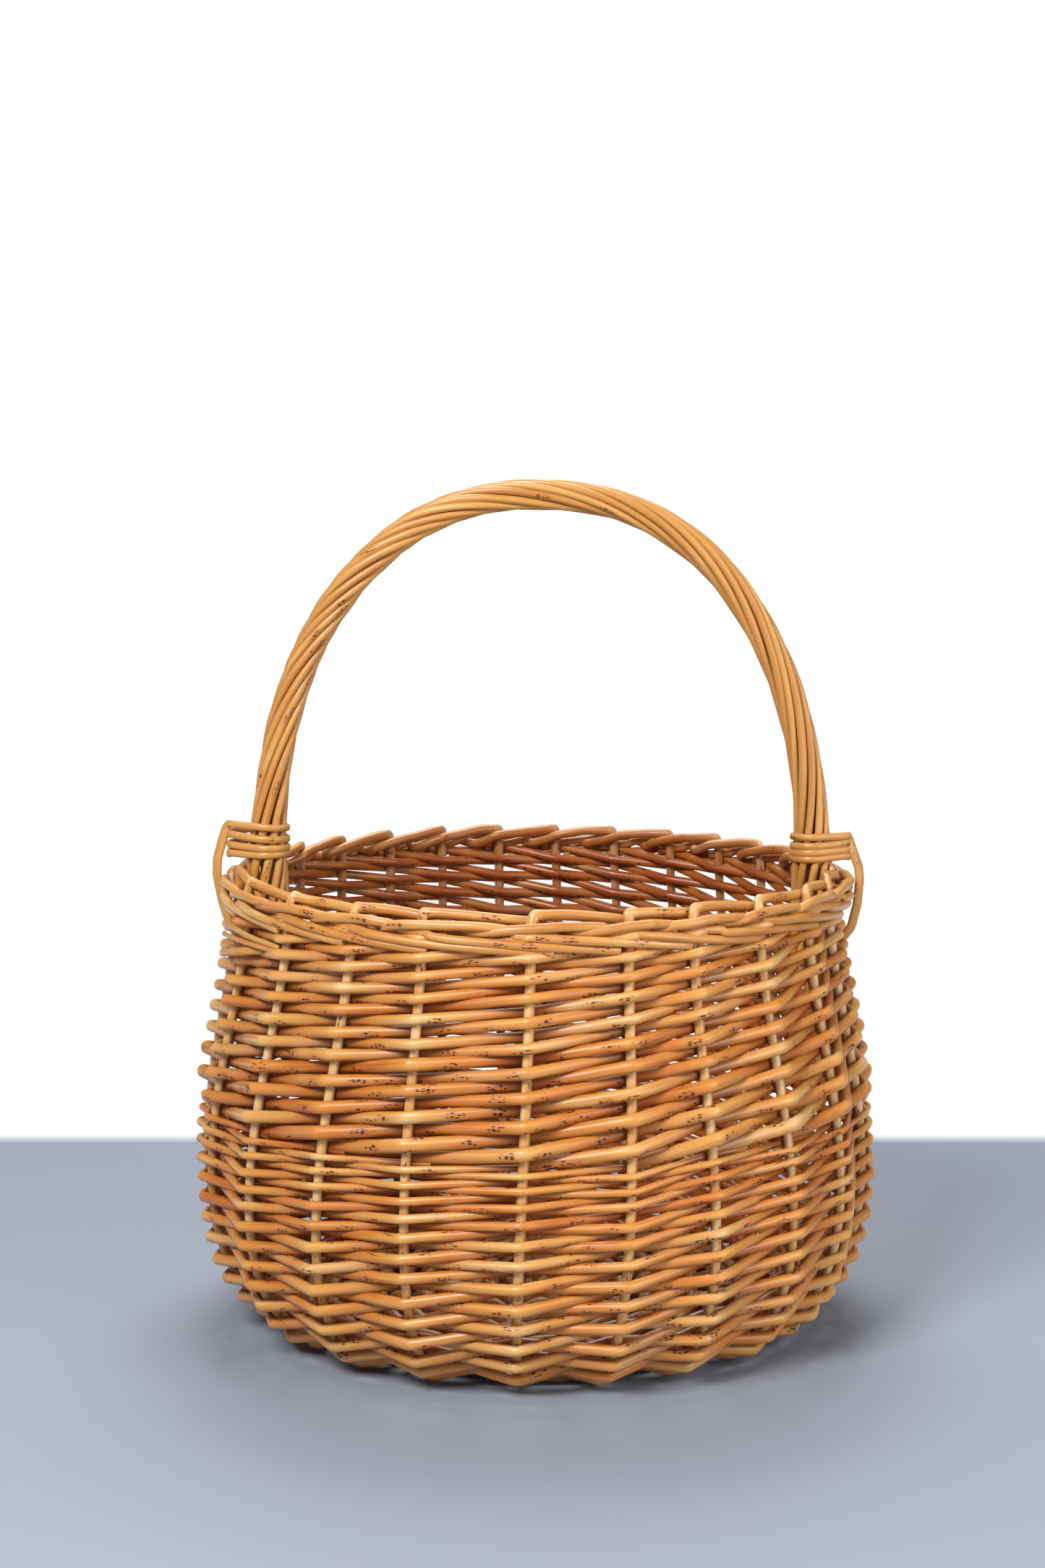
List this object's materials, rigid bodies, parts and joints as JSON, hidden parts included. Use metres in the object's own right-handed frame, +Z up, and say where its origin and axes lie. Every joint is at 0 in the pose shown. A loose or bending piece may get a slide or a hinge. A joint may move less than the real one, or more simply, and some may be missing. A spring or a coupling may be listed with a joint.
{
  "type": "knitting basket",
  "caption": "Round pot-bellied willow basket with a woven base, rand-woven wall, plain trac border and a fixed roped arch handle.",
  "frame": {"origin": "on the table under the middle of the basket, level with the lowest rods of the base", "axes": "+Z up; -Y is the front; the handle's arch stands in the XZ plane"},
  "size_m": [0.3854, 0.386, 0.4723],
  "materials": {
    "stake_willow": "satin varnish",
    "siding_willow": "satin varnish",
    "base_willow": "satin varnish",
    "handle_willow": "satin varnish",
    "bow_willow": "satin varnish",
    "lashing_willow": "satin varnish"
  },
  "bodies": {
    "root": {"base_rod": "base_willow", "base_sticks": "base_willow", "handle_bow": "bow_willow", "handle_roping_back": "handle_willow", "handle_roping_front": "handle_willow", "lashing_left": "lashing_willow", "lashing_right": "lashing_willow", "siding_rod_01": "siding_willow", "siding_rod_02": "siding_willow", "siding_rod_03": "siding_willow", "siding_rod_04": "siding_willow", "siding_rod_05": "siding_willow", "siding_rod_06": "siding_willow", "siding_rod_07": "siding_willow", "siding_rod_08": "siding_willow", "siding_rod_09": "siding_willow", "siding_rod_10": "siding_willow", "siding_rod_11": "siding_willow", "siding_rod_12": "siding_willow", "siding_rod_13": "siding_willow", "siding_rod_14": "siding_willow", "siding_rod_15": "siding_willow", "siding_rod_16": "siding_willow", "siding_rod_17": "siding_willow", "siding_rod_18": "siding_willow", "siding_rod_19": "siding_willow", "siding_rod_20": "siding_willow", "siding_rod_21": "siding_willow", "siding_rod_22": "siding_willow", "siding_rod_23": "siding_willow", "siding_rod_24": "siding_willow", "siding_rod_25": "siding_willow", "siding_rod_26": "siding_willow", "stake_01": "stake_willow", "stake_02": "stake_willow", "stake_03": "stake_willow", "stake_04": "stake_willow", "stake_05": "stake_willow", "stake_06": "stake_willow", "stake_07": "stake_willow", "stake_08": "stake_willow", "stake_09": "stake_willow", "stake_10": "stake_willow", "stake_11": "stake_willow", "stake_12": "stake_willow", "stake_13": "stake_willow", "stake_14": "stake_willow", "stake_15": "stake_willow", "stake_16": "stake_willow", "stake_17": "stake_willow", "stake_18": "stake_willow", "stake_19": "stake_willow", "stake_20": "stake_willow", "stake_21": "stake_willow", "stake_22": "stake_willow", "stake_23": "stake_willow", "stake_24": "stake_willow", "stake_25": "stake_willow", "stake_26": "stake_willow"}
  },
  "joints": []
}
